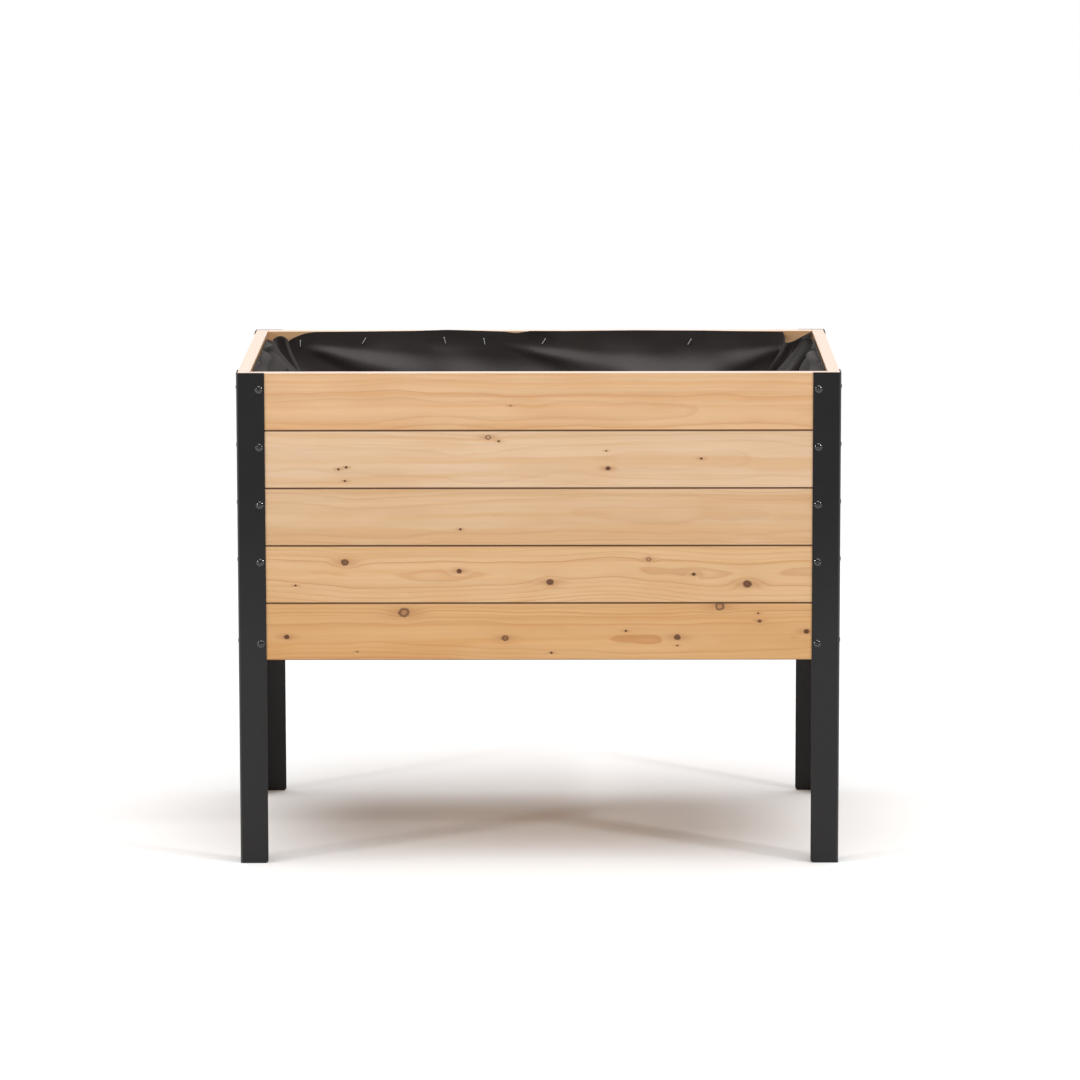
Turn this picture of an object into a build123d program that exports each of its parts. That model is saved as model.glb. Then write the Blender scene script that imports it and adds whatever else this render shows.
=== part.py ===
from build123d import *
import os

# Raised planter: a cedar box of five board courses, hung between four steel angle legs, with
# a slatted floor and a stapled fabric liner.
# Frame: origin on the ground under the middle of the box, +X along the long side, -Y towards
# the front, +Z up. Millimetres.

INCH = 25.4

# Driving dimensions, outside to outside of the steel.
width = 922.0
depth = 564.0
height = 30 * INCH
box_height = 17.5 * INCH
courses = 5

# Boards: nominal one-by-four stock with eased edges.
board_thickness = 19.0
course_gap = 0.6
arris = 1.0

# Legs: a bent sheet angle with rounded toes.
steel = 1.5
flange = 43.0
bend_inside = 1.0
toe_radius = 5.0

# Truss-head screws through the legs, one for each course and flange.
screw_inset = 1 * INCH
screw_setback = 34.5
screw_radius = 2.4
head_radius = 5.75
head_height = 2.8
head_rim = 0.6
wall_screw_length = 18.0
sill_screw_length = 30.0
tip_length = 4.0
leg_hole_clearance = 0.15
floor_hole_clearance = 0.1
pilot_clearance = 0.05

# Countersunk screws that hold the cleats and the floor slats.
floor_screw_radius = 2.1
floor_screw_length = 32.0
floor_head_radius = 4.0
cleat_screw_spacing = 180.0
slat_screw_spacing = 44.0

# Cross recess in the head of every screw.
recess_span = 4.6
recess_slot = 1.1
recess_depth = 1.6
recess_turn = 25

# Cleats round the inside of the bottom course, and the slats that lie across them.
cleat_height = 38.0
cleat_thickness = board_thickness
cleat_end_gap = 1.0
slat_width = 89.0
slat_count = 9
slat_end_gap = 3.5

# Fabric liner, and staples of flat wire: place along the wall seen from inside, drop below
# the rim, and lean of the crown from level, in degrees.
liner_thickness = 2.0
liner_play = 0.5
liner_drop = 5.0
liner_corner = 12.0
staple_crown = 10.7
staple_leg = 10.0
wire_width = 1.2
wire_thickness = 0.7
staple_clearance = 0.06
long_wall_staples = [
    (-388, 20, 88),
    (-285, 16, 58),
    (-154, 15, 104),
    (-90, 17, 100),
    (6, 17, 55),
    (242, 18, 60),
]
short_wall_staples = [(-190, 19, 75), (-60, 16, 96), (70, 18, 62), (185, 17, 110)]

# Worked out from the driving dimensions.
wood_width = width - 2 * steel
wood_depth = depth - 2 * steel
inner_width = wood_width - 2 * board_thickness
inner_depth = wood_depth - 2 * board_thickness
box_bottom = height - box_height
course_height = box_height / courses
sill_height = box_bottom + screw_inset
cleat_bottom = sill_height - cleat_height / 2
floor_bottom = cleat_bottom + cleat_height
floor_top = floor_bottom + board_thickness
slat_pitch = slat_width + (inner_width - slat_count * slat_width) / (slat_count + 1)
slat_places = [slat_pitch * (n - (slat_count - 1) / 2) for n in range(slat_count)]
slat_tops = [Plane((place, 0, floor_top)) for place in slat_places]
slat_screw_rows = inner_depth - cleat_thickness
floor_pilot_depth = floor_screw_length - cleat_thickness
liner_inset = liner_play + liner_thickness
staple_depth = staple_leg - liner_inset

# Each wall has a plane on the outer face of its boards, with x to the right as seen from
# outside, y up and the normal pointing outwards. Front and rear boards fit between the side
# boards, which run the full depth.
outer_face = {
    "front": Plane((0, -wood_depth / 2, 0), x_dir=(1, 0, 0), z_dir=(0, -1, 0)),
    "rear": Plane((0, wood_depth / 2, 0), x_dir=(-1, 0, 0), z_dir=(0, 1, 0)),
    "left": Plane((-wood_width / 2, 0, 0), x_dir=(0, -1, 0), z_dir=(-1, 0, 0)),
    "right": Plane((wood_width / 2, 0, 0), x_dir=(0, 1, 0), z_dir=(1, 0, 0)),
}
is_long = {"front": True, "rear": True, "left": False, "right": False}
board_length = {wall: inner_width if long else wood_depth for wall, long in is_long.items()}
screw_reach = {wall: (width if long else depth) / 2 - screw_setback for wall, long in is_long.items()}
cleat_length = {
    wall: (inner_width if long else inner_depth - 2 * cleat_thickness) - 2 * cleat_end_gap
    for wall, long in is_long.items()
}
cleat_screws = {
    wall: [cleat_screw_spacing * n for n in (range(-2, 3) if long else range(-1, 2))]
    for wall, long in is_long.items()
}
staples = {wall: long_wall_staples if long else short_wall_staples for wall, long in is_long.items()}
wall_screw_heights = [height - screw_inset - n * course_height for n in range(courses - 1)]
leg_places = {
    f"{end}_{side}": (end, side, -1 if end == "front" else 1, -1 if side == "left" else 1)
    for end in ("front", "rear")
    for side in ("left", "right")
}


def inside(wall, inset):
    """A plane parallel to a wall, inset from its outer face, that faces into the box.

    Its x runs to the right as seen from inside, and its y is up.
    """
    face = outer_face[wall].offset(-inset)
    return Plane(face.origin, x_dir=-face.x_dir, z_dir=-face.z_dir)


# Places of the screws of the legs, on the outer face of the steel with z pointing outwards.
wall_screw_places = {name: [] for name in leg_places}
sill_screw_places = []
for name, (end, side, end_sign, side_sign) in leg_places.items():
    corner = Vector(side_sign * width / 2, end_sign * depth / 2, 0)
    for wall in (end, side):
        steel_face = outer_face[wall].offset(steel)
        towards_corner = (corner - steel_face.origin).dot(steel_face.x_dir) > 0
        column = screw_reach[wall] if towards_corner else -screw_reach[wall]
        for n, z in enumerate(wall_screw_heights):
            wall_screw_places[name].append(steel_face * Location((column, z), recess_turn * n))
        sill_screw_places.append(steel_face * Location((column, sill_height)))


def cut_recess(top):
    """Cuts a cross recess into the screw that is being built, with its head's top at a height."""
    with BuildSketch(Plane.XY.offset(top)) as cross:
        Rectangle(recess_span, recess_slot)
        Rectangle(recess_slot, recess_span)
    extrude(cross.sketch, amount=-recess_depth, mode=Mode.SUBTRACT)


def make_truss_screw(length):
    """A screw along Z with a domed head above z=0 and a pointed shank of a length below it."""
    with BuildPart() as screw:
        with BuildSketch(Plane.XZ):
            with BuildLine():
                Polyline(
                    (0, head_height),
                    (0, -length),
                    (screw_radius, tip_length - length),
                    (screw_radius, 0),
                    (head_radius, 0),
                    (head_radius, head_rim),
                )
                TangentArc((0, head_height), (head_radius, head_rim), tangent=(1, 0))
            make_face()
        revolve(axis=Axis.Z)
        cut_recess(head_height)
    return screw.part


def make_countersunk_screw(length):
    """A screw along Z with its flat head at z=0 and a point at the length below it."""
    with BuildPart() as screw:
        with BuildSketch(Plane.XZ):
            with BuildLine():
                Polyline(
                    (0, 0),
                    (0, -length),
                    (floor_screw_radius, tip_length - length),
                    (floor_screw_radius, floor_screw_radius - floor_head_radius),
                    (floor_head_radius, 0),
                    close=True,
                )
            make_face()
        revolve(axis=Axis.Z)
        cut_recess(0)
    return screw.part


def cut_countersunk_hole(thickness):
    """Cuts a clear hole for a floor screw through a piece of a thickness."""
    CounterSinkHole(
        floor_screw_radius + floor_hole_clearance,
        floor_head_radius + floor_hole_clearance,
        depth=thickness,
        counter_sink_angle=90,
    )


def cut_staple_slots(plane, places, slot_depth):
    """Cuts two slots for the legs of each staple into the part that is being built."""
    centres = [plane * Location((x, height - drop), lean) for x, drop, lean in places]
    with BuildSketch(*centres) as slots:
        with GridLocations(staple_crown - wire_thickness, 0, 2, 1):
            Rectangle(wire_thickness + 2 * staple_clearance, wire_width + 2 * staple_clearance)
    extrude(slots.sketch, amount=-slot_depth, mode=Mode.SUBTRACT)


def finish(builder, label):
    """Labels a finished sub-part and writes its file."""
    builder.part.label = label
    export_step(builder.part, f"parts/{label}.step")


os.makedirs("parts", exist_ok=True)

# Legs: an L section with its bend at the outer corner of the box, holes for the screws in
# both flanges, and the free corner of each toe rounded off.
for name, (end, side, end_sign, side_sign) in leg_places.items():
    corner_x = side_sign * width / 2
    corner_y = end_sign * depth / 2
    heel_x = corner_x - side_sign * steel
    heel_y = corner_y - end_sign * steel
    with BuildPart() as leg:
        with BuildSketch() as section:
            with BuildLine():
                Polyline(
                    (corner_x, corner_y),
                    (corner_x - side_sign * flange, corner_y),
                    (corner_x - side_sign * flange, heel_y),
                    (heel_x, heel_y),
                    (heel_x, corner_y - end_sign * flange),
                    (corner_x, corner_y - end_sign * flange),
                    close=True,
                )
            make_face()
            bend = section.vertices().sort_by_distance((corner_x, corner_y))[0]
            fillet(bend, bend_inside + steel)
            heel = section.vertices().sort_by_distance((heel_x, heel_y))[0]
            fillet(heel, bend_inside)
        extrude(amount=height)
        foot_edges = leg.edges().group_by(Axis.Z)[0]
        long_toe = (corner_x - side_sign * flange, corner_y, 0)
        short_toe = (corner_x, corner_y - end_sign * flange, 0)
        fillet(
            [
                foot_edges.filter_by(Axis.Y).sort_by_distance(long_toe)[0],
                foot_edges.filter_by(Axis.X).sort_by_distance(short_toe)[0],
            ],
            toe_radius,
        )
        with Locations(*wall_screw_places[name], *sill_screw_places):
            Hole(screw_radius + leg_hole_clearance, depth=steel)
    finish(leg, f"leg_{name}")

# Wall boards: five courses on each wall, counted from the top, with a pilot hole for the
# screw of each leg. The bottom course takes its screws low down, where the cleats are, and
# has blind holes inside for the cleat's own screws. The top course is slotted for staples.
for wall, face in outer_face.items():
    for course in range(courses):
        top_course = course == 0
        bottom_course = course == courses - 1
        middle = height - (course + 0.5) * course_height
        screw_height = sill_height if bottom_course else wall_screw_heights[course]
        pilot_depth = board_thickness if bottom_course else wall_screw_length - steel
        with BuildPart() as board:
            with BuildSketch(face * Location((0, middle))):
                Rectangle(board_length[wall], course_height - course_gap)
            extrude(amount=-board_thickness)
            fillet(board.edges(), arris)
            reach = screw_reach[wall]
            with Locations(*[face * Location((x, screw_height)) for x in (-reach, reach)]):
                Hole(screw_radius + pilot_clearance, depth=pilot_depth)
            if bottom_course:
                inner = inside(wall, board_thickness)
                with Locations(*[inner * Location((x, sill_height)) for x in cleat_screws[wall]]):
                    Hole(floor_screw_radius + pilot_clearance, depth=floor_pilot_depth)
            if top_course:
                inner = inside(wall, board_thickness)
                cut_staple_slots(inner, staples[wall], staple_depth)
        finish(board, f"{wall}_board_{course + 1}")

# Cleats: battens screwed round the inside of the bottom course. The long ones reach from
# side board to side board and the short ones fit between them. The lowest screws of the legs
# end in the long cleats, on two sides, and the slats are screwed down onto them.
for wall, long in is_long.items():
    inner = inside(wall, board_thickness + cleat_thickness)
    with BuildPart() as cleat:
        with BuildSketch(inner * Location((0, sill_height))):
            Rectangle(cleat_length[wall], cleat_height)
        extrude(amount=-cleat_thickness)
        fillet(cleat.edges(), arris)
        with Locations(*[inner * Location((x, sill_height)) for x in cleat_screws[wall]]):
            cut_countersunk_hole(cleat_thickness)
        if long:
            with Locations(*sill_screw_places):
                Hole(screw_radius + pilot_clearance, depth=sill_screw_length)
            with Locations(*slat_tops):
                with GridLocations(slat_screw_spacing, slat_screw_rows, 2, 2):
                    Hole(floor_screw_radius + pilot_clearance, depth=floor_screw_length)
    finish(cleat, f"cleat_{wall}")

# Floor slats: short boards that lie front to rear across the long cleats, with gaps between
# them for drainage, each held by two screws at either end.
for number, top in enumerate(slat_tops, start=1):
    with BuildPart() as slat:
        with BuildSketch(top):
            Rectangle(slat_width, inner_depth - 2 * slat_end_gap)
        extrude(amount=-board_thickness)
        fillet(slat.edges(), arris)
        with Locations(top):
            with GridLocations(slat_screw_spacing, slat_screw_rows, 2, 2):
                cut_countersunk_hole(board_thickness)
    finish(slat, f"floor_slat_{number}")

# Screws of the legs: truss heads over pointed shanks. The four upper courses have short ones,
# grouped by leg. The bottom course has long ones, which reach the cleats.
short_screw = make_truss_screw(wall_screw_length)
for name, places in wall_screw_places.items():
    with BuildPart() as leg_screws:
        with Locations(*places):
            add(short_screw)
    finish(leg_screws, f"leg_screws_{name}")

with BuildPart() as sill_screws:
    with Locations(*sill_screw_places):
        add(make_truss_screw(sill_screw_length))
finish(sill_screws, "sill_screws")

# Screws of the floor: countersunk heads, flush with the cleats and the slats.
floor_screw = make_countersunk_screw(floor_screw_length)
with BuildPart() as cleat_screw_set:
    for wall, places in cleat_screws.items():
        inner = inside(wall, board_thickness + cleat_thickness)
        with Locations(*[inner * Location((x, sill_height)) for x in places]):
            add(floor_screw)
finish(cleat_screw_set, "cleat_screws")

with BuildPart() as slat_screws:
    with Locations(*slat_tops):
        with GridLocations(slat_screw_spacing, slat_screw_rows, 2, 2):
            add(floor_screw)
finish(slat_screws, "slat_screws")

# Liner: the fabric pressed into the box, as a plain open-topped shell that stands on the
# slats, with slots where the staples go through it.
liner_width = inner_width - 2 * liner_play
liner_depth = inner_depth - 2 * liner_play
liner_height = height - liner_drop - floor_top
with BuildPart() as liner:
    with BuildSketch(Plane.XY.offset(floor_top)):
        RectangleRounded(liner_width, liner_depth, liner_corner)
    extrude(amount=liner_height)
    with BuildSketch(Plane.XY.offset(floor_top + liner_thickness)):
        RectangleRounded(
            liner_width - 2 * liner_thickness,
            liner_depth - 2 * liner_thickness,
            liner_corner - liner_thickness,
        )
    extrude(amount=liner_height, mode=Mode.SUBTRACT)
    for wall, places in staples.items():
        cut_staple_slots(inside(wall, board_thickness + liner_inset), places, liner_thickness)
finish(liner, "liner")

# Staples: flat wire bent to a U, with the crown on the liner and the legs in the top course.
with BuildPart() as staple:
    with BuildSketch(Plane.XZ):
        with Locations((0, wire_thickness)):
            Rectangle(staple_crown, wire_thickness + staple_leg, align=(Align.CENTER, Align.MAX))
        Rectangle(
            staple_crown - 2 * wire_thickness,
            staple_leg,
            align=(Align.CENTER, Align.MAX),
            mode=Mode.SUBTRACT,
        )
    extrude(amount=wire_width / 2, both=True)
    fillet(staple.edges().filter_by(Axis.Y).group_by(Axis.Z)[-1], wire_thickness * 0.8)
with BuildPart() as liner_staples:
    for wall, places in staples.items():
        on_liner = inside(wall, board_thickness + liner_inset)
        with Locations(*[on_liner * Location((x, height - drop), lean) for x, drop, lean in places]):
            add(staple.part)
finish(liner_staples, "liner_staples")
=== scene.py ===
import math
import random
import bmesh
import bpy
import numpy as np
from mathutils import Matrix, Vector


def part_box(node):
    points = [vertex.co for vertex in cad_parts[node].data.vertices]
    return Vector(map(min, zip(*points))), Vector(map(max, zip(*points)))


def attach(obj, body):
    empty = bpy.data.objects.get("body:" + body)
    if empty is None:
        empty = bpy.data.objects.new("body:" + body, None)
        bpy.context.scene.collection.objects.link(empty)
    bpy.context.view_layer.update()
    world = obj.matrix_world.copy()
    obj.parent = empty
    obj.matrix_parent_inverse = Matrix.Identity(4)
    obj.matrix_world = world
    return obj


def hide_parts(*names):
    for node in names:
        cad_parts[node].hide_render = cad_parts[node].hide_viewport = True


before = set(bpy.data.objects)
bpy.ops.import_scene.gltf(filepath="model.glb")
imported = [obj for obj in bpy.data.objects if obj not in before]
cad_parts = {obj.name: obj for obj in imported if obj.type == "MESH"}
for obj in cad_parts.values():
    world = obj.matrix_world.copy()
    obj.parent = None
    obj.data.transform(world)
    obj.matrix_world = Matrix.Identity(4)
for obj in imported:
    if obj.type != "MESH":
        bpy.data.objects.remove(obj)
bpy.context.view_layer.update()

scene = bpy.context.scene

# ------------------------------------------------------------------ walls
# The walls are five courses of planed cedar boards a side, flat sawn, with eased edges.
# The side boards run the full depth and the front and rear ones butt between them, all
# held at their ends by the screws of the legs.


class Socket:
    """A value in a node tree. Python's operators on it add Math nodes."""

    def __init__(self, graph, socket):
        self.graph = graph
        self.socket = socket

    def math(self, operation, *others):
        return self.graph.node("ShaderNodeMath", {"operation": operation}, dict(enumerate((self, *others))))

    def __add__(self, other):
        return self.math("ADD", other)

    def __sub__(self, other):
        return self.math("SUBTRACT", other)

    def __mul__(self, other):
        return self.math("MULTIPLY", other)

    def __truediv__(self, other):
        return self.math("DIVIDE", other)

    def __neg__(self):
        return self * -1.0

    def __rsub__(self, other):
        return (-self) + other

    __radd__ = __add__
    __rmul__ = __mul__

    def squared(self):
        return self.math("MULTIPLY", self)

    def root(self):
        return self.math("SQRT")

    def fraction(self):
        return self.math("FRACT")

    def step(self, start, end):
        """0 below start and 1 above end, smooth between them, or the other way if end is lower."""
        limits = {"From Min": min(start, end), "From Max": max(start, end)}
        rising = self.graph.node(
            "ShaderNodeMapRange", {"interpolation_type": "SMOOTHSTEP"}, {"Value": self, **limits}
        )
        return rising if end > start else 1.0 - rising


class Graph:
    """A node tree, to which one method adds nodes."""

    def __init__(self, tree):
        self.tree = tree

    def node(self, kind, settings=(), inputs=(), output=0):
        """Adds a node with its settings and the values or links of its inputs; returns an output."""
        node = self.tree.nodes.new(kind)
        for name, value in dict(settings).items():
            setattr(node, name, value)
        for name, value in dict(inputs).items():
            if isinstance(value, Socket):
                self.tree.links.new(value.socket, node.inputs[name])
            elif value is not None:
                node.inputs[name].default_value = value
        return Socket(self, node.outputs[output]) if len(node.outputs) else None

    def split(self, vector):
        """The three numbers of a vector."""
        x = self.node("ShaderNodeSeparateXYZ", (), {0: vector})
        return [Socket(self, output) for output in x.socket.node.outputs]

    def join(self, x, y, z):
        """A vector of three numbers."""
        return self.node("ShaderNodeCombineXYZ", (), {0: x, 1: y, 2: z})


class Finish(Graph):
    """A procedural material. Its patterns lie in object space, in metres."""

    def __init__(self, name):
        self.material = bpy.data.materials.new(name)
        self.material.use_nodes = True
        super().__init__(self.material.node_tree)
        self.tree.nodes.clear()
        self.place = self.node("ShaderNodeTexCoord", output="Object")

    def noise(self, vector, scale, detail=2.0, roughness=0.5, distortion=0.0):
        """Smooth noise from 0 to 1."""
        values = {
            "Vector": vector,
            "Scale": scale,
            "Detail": detail,
            "Roughness": roughness,
            "Distortion": distortion,
        }
        return self.node("ShaderNodeTexNoise", (), values)

    def mix(self, factor, first, second):
        """A colour between two colours."""
        mixed = {0: factor, 6: self.colour(first), 7: self.colour(second)}
        return self.node("ShaderNodeMix", {"data_type": "RGBA"}, mixed, 2)

    def scaled(self, colour, factor):
        """A colour made lighter or darker by a number that varies."""
        factors = self.join(factor, factor, factor)
        return self.node("ShaderNodeVectorMath", {"operation": "MULTIPLY"}, {0: colour, 1: factors})

    @staticmethod
    def colour(value):
        return value if isinstance(value, Socket) else (*value, 1.0)

    def bump(self, height, distance, strength=1.0):
        """A normal from a height of 0 to 1, which stands for a distance in metres."""
        values = {"Height": height, "Distance": distance, "Strength": strength}
        return self.node("ShaderNodeBump", (), values)

    def surface(self, **values):
        """Ends the tree with one Principled shader, and returns the material."""
        names = {name: name.replace("_", " ").title().replace("Ior", "IOR") for name in values}
        values = {names[name]: value for name, value in values.items()}
        shader = self.node("ShaderNodeBsdfPrincipled", (), values)
        self.node("ShaderNodeOutputMaterial", (), {"Surface": shader})
        return self.material


ring_width = 0.0044
knife_pitch = 0.0031
grain_relief = 0.00022
halo_colour, heart_colour, rim_colour = (0.40, 0.185, 0.072), (0.115, 0.038, 0.015), (0.062, 0.020, 0.009)
# The first colour is painted shade with some dirt, for the seams between boards; the second is painted light,
# for the top of the box.
seam_shade_and_dirt_colour, rim_painted_light_colour = (0.105, 0.048, 0.018), (0.86, 0.765, 0.72)


def tinted(tone, factors):
    """A wood tone with each of its three parts scaled."""
    return tuple(c * k for c, k in zip(tone, factors))


def cedar(name, centre, grain, tone, seed, pith, knots=(), contrast=0.55, half=None, is_top=False):
    """Planed cedar. grain gives the axes along the board, across it and through it, pith the
    heart's place across and through it, and each knot its place, radius and filling."""
    wood = Finish(name)
    offset = wood.node("ShaderNodeVectorMath", {"operation": "SUBTRACT"}, {0: wood.place, 1: centre})
    parts = wood.split(offset)
    along, across, deep = (parts[axis] for axis in grain)

    # Growth rings round a heart that wanders along the board.
    slow = wood.join(along * 1.7 + seed * 3.7, across * 8.0, deep * 8.0)
    wander = (wood.noise(slow, 1.0, 1.5) - 0.5) * 0.022
    quick = wood.join(along * 11.0 + seed, across * 26.0, deep * 26.0)
    ripples = (wood.noise(quick, 1.0, 1.0) - 0.5) * 0.0045
    leaning = wood.join(along * 2.4 + seed * 5.3, seed * 1.3, 0.0)
    sway = (wood.noise(leaning, 1.0, 1.0) - 0.5) * 0.05
    distance = ((across - pith[0] - sway).squared() + (deep - pith[1]).squared()).root() + wander + ripples
    swirls = [
        ((along - k_along) / (4.0 * radius), (across - k_across) / (1.9 * radius), radius)
        for k_along, k_across, radius, filling in knots
    ]
    for u, v, radius in swirls:
        distance = distance + (-(u.squared() + v.squared())).math("EXPONENT") * (radius * 1.3)
    uneven = wood.noise(wood.join(distance * 55.0, seed * 2.1, 0.0), 1.0, 1.0)
    rings = distance / ring_width + uneven * 2.2
    phase = rings.fraction()
    year = wood.node("ShaderNodeTexWhiteNoise", {"noise_dimensions": "1D"}, {"W": rings - phase + seed})
    band = phase.step(0.25, 0.9) * 0.35 + phase.step(0.70, 0.90) * 0.65
    late = band * phase.step(1.0, 0.94) * (year * 0.75 + 0.25)

    # Fibres, a soft mottle and the faint ripple that the planer's knives leave.
    fibres = wood.noise(wood.join(along * 16.0 + seed, across * 950.0, deep * 950.0), 1.0, 2.0, 0.6)
    streaks = wood.noise(wood.join(along * 1.6 + seed, across * 150.0, deep * 150.0), 1.0, 3.0)
    stripes = wood.noise(wood.join(along * 0.9 + seed, (distance + across * 0.6) * 95.0, seed), 1.0, 2.0)
    mottle = wood.noise(wood.join(along * 7.0 + seed, across * 30.0, deep * 30.0), 1.0, 3.0)
    ripple = (along * (2 * math.pi / knife_pitch)).math("SINE") * mottle.step(0.5, 0.75)

    early_colour = tinted(tone, (1.05, 1.05, 1.05))
    warm_colour = tinted(tone, (0.96, 0.88, 0.76))
    orange_colour = tinted(tone, (0.97, 0.86, 0.70))
    late_colour = tinted(tone, (0.80, 0.60, 0.44))
    colour = wood.mix(mottle.step(0.35, 0.75) * 0.6, early_colour, warm_colour)
    colour = wood.mix(stripes.step(0.46, 0.68) * 0.75, colour, orange_colour)
    colour = wood.mix(late * contrast, colour, late_colour)
    shade = (fibres - 0.5) * 0.18 + (streaks - 0.5) * 0.24 + ripple * 0.014 + 1.03
    colour = wood.scaled(colour, shade)

    # Knots: a dark rim round a brown heart, in a reddish halo that follows the grain.
    rough_edge = (wood.noise(offset, 240.0, 2.0) - 0.5) * 0.5
    for (u, v, radius), (k_along, k_across, radius, filling) in zip(swirls, knots):
        reach = ((u * 3.4).squared() + (v * 1.9).squared()).root() + rough_edge
        halo = (-((u * 0.9).squared() + (v * 1.5).squared())).math("EXPONENT")
        colour = wood.mix(halo * 0.62, colour, halo_colour)
        colour = wood.mix(reach.step(1.25, 0.55) * filling, colour, heart_colour)
        rim = reach.step(0.40, 0.85) * reach.step(1.35, 0.90)
        colour = wood.mix(rim * 0.72, colour, rim_colour)

    # Painted shade, with some dirt, darkens the eased edges where boards meet; painted light makes the top of
    # the box pale.
    if half:
        meeting = -across if is_top else across.math("ABSOLUTE")
        colour = wood.mix(meeting.step(half - 0.0017, half - 0.0007) * 0.85, colour, seam_shade_and_dirt_colour)
    # Painted light: the top of the box is made pale, as light from above would make it.
    if is_top:
        colour = wood.mix(across.step(half - 0.0009, half - 0.0002) * 0.65, colour, rim_painted_light_colour)

    height = late * 0.6 + fibres * 0.5
    return wood.surface(
        base_color=colour,
        roughness=(0.66 - late * 0.14) + (fibres - 0.5) * 0.12,
        normal=wood.bump(height, grain_relief, 0.55),
        specular_ior_level=0.35,
    )


def finished(name, mesh, material=None, modifiers=()):
    """An object from a mesh, with modifiers given as (type, settings) applied in turn."""
    piece = bpy.data.objects.new(name, mesh)
    scene.collection.objects.link(piece)
    if material:
        piece.data.materials.append(material)
    for kind, settings in modifiers:
        modifier = piece.modifiers.new(kind.title(), kind)
        for key, value in settings.items():
            setattr(modifier, key, value)
    if modifiers:
        settled = piece.evaluated_get(bpy.context.evaluated_depsgraph_get())
        piece.data = bpy.data.meshes.new_from_object(settled)
        piece.modifiers.clear()
    piece.data.name = name
    return piece


def eased_board(node, material):
    """A board in the box of a CAD node, with its arrises rounded over."""
    low, high = (Vector(corner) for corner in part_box(node))
    blank = bmesh.new()
    bmesh.ops.create_cube(blank, size=1.0)
    for vertex in blank.verts:
        vertex.co = Vector([a + (c + 0.5) * (b - a) for a, b, c in zip(low, high, vertex.co)])
    mesh = bpy.data.meshes.new(node)
    blank.to_mesh(mesh)
    blank.free()
    mesh.shade_smooth()
    arris = {"width": 0.0010, "segments": 3, "limit_method": "NONE", "harden_normals": True}
    piece = finished("cedar_" + node, mesh, material, [("BEVEL", arris)])
    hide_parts(node)
    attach(piece, "root")
    return piece


def middle(node):
    """The middle of a CAD node's box."""
    low, high = (Vector(corner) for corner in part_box(node))
    return (low + high) / 2


pale_pink = (0.615, 0.428, 0.276)
tan = (0.618, 0.390, 0.217)
golden = (0.565, 0.330, 0.148)
course_tones = (tan, pale_pink, (0.566, 0.377, 0.223), (0.603, 0.387, 0.206), golden)

# Knots of the front wall by course, in millimetres along and across from the middle of each
# board: place, radius, and how much of the knot is filled with brown.
front_knots = {
    1: [(-43, -6, 1.2, 0.4)],
    2: [(-77, 34, 3.3, 0.0), (-61, 28, 1.6, 1.0), (-306, -15, 1.7, 1.0), (-294, -12, 1.7, 1.0)]
    + [(-296, -33, 1.5, 1.0), (106, -14, 3.0, 1.0), (248, 1, 1.6, 1.0), (103, 13, 1.2, 0.7)],
    3: [(-120, -19, 1.6, 1.0)],
    4: [(-297, 19, 4.6, 0.8), (-373, -17, 1.5, 1.0), (-122, 5, 3.2, 1.0), (17, -12, 4.4, 0.9)]
    + [(168, 23, 3.0, 0.1), (237, 0, 2.4, 1.0), (319, -15, 5.2, 0.9)],
    5: [(-207, 30, 6.5, 0.35), (-387, -8, 3.2, 1.0), (-52, -10, 4.0, 0.6), (19, -33, 1.7, 1.0)]
    + [(-279, -31, 1.2, 1.0), (212, -9, 4.0, 0.9), (277, 39, 5.5, 0.2), (338, 16, 2.4, 0.8)]
    + [(336, 28, 1.3, 1.0), (410, 0, 3.4, 1.0), (133, 1, 1.6, 1.0), (212, -22, 1.3, 1.0)],
}
front_piths = {
    1: (-0.012, 0.050),
    2: (-0.004, 0.070),
    3: (-0.002, 0.060),
    4: (0.004, 0.030),
    5: (-0.006, 0.026),
}
grains = {"front": (0, 2, 1), "rear": (0, 2, 1), "left": (1, 2, 0), "right": (1, 2, 0)}
chance = random.Random(11)
for wall, grain in grains.items():
    for course in range(1, 6):
        node = f"{wall}_board_{course}"
        low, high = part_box(node)
        half_length = (high[grain[0]] - low[grain[0]]) / 2
        if wall == "front":
            knots = [(a / 1000, c / 1000, r / 1000, f) for a, c, r, f in front_knots[course]]
            pith = front_piths[course]
        else:
            knots = [
                (
                    chance.uniform(-0.92, 0.92) * half_length,
                    chance.uniform(-0.036, 0.036),
                    chance.choice((0.0013, 0.0017, 0.0024, 0.0035, 0.0048)),
                    chance.choice((0.3, 0.8, 1.0)),
                )
                for n in range(chance.randint(1, 6))
            ]
            pith = (chance.uniform(-0.015, 0.015), chance.choice((-1, 1)) * chance.uniform(0.025, 0.07))
        lift = chance.uniform(0.97, 1.03) * (1.14 if node == "rear_board_1" else 1.0)
        tone = tuple(c * lift for c in course_tones[course - 1])
        seed = 10 * course + list(grains).index(wall) * 3.3
        half = (high[2] - low[2]) / 2
        contrast = 0.8 if course > 3 else 0.5
        look = (grain, tone, seed, pith, knots, contrast, half, course == 1)
        eased_board(node, cedar("cedar of " + node, middle(node), *look))

# ------------------------------------------------------------------ legs
# Each leg is a strip of 1.5 mm steel, cut with round toes, folded lengthwise to an angle and
# powder coated satin black. It clasps a corner of the box from rim to ground.

steel = 0.0015
flange = 0.043
bend = 0.0025
toe = 0.005
leg_reach = Vector(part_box("leg_rear_right")[1])


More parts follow.
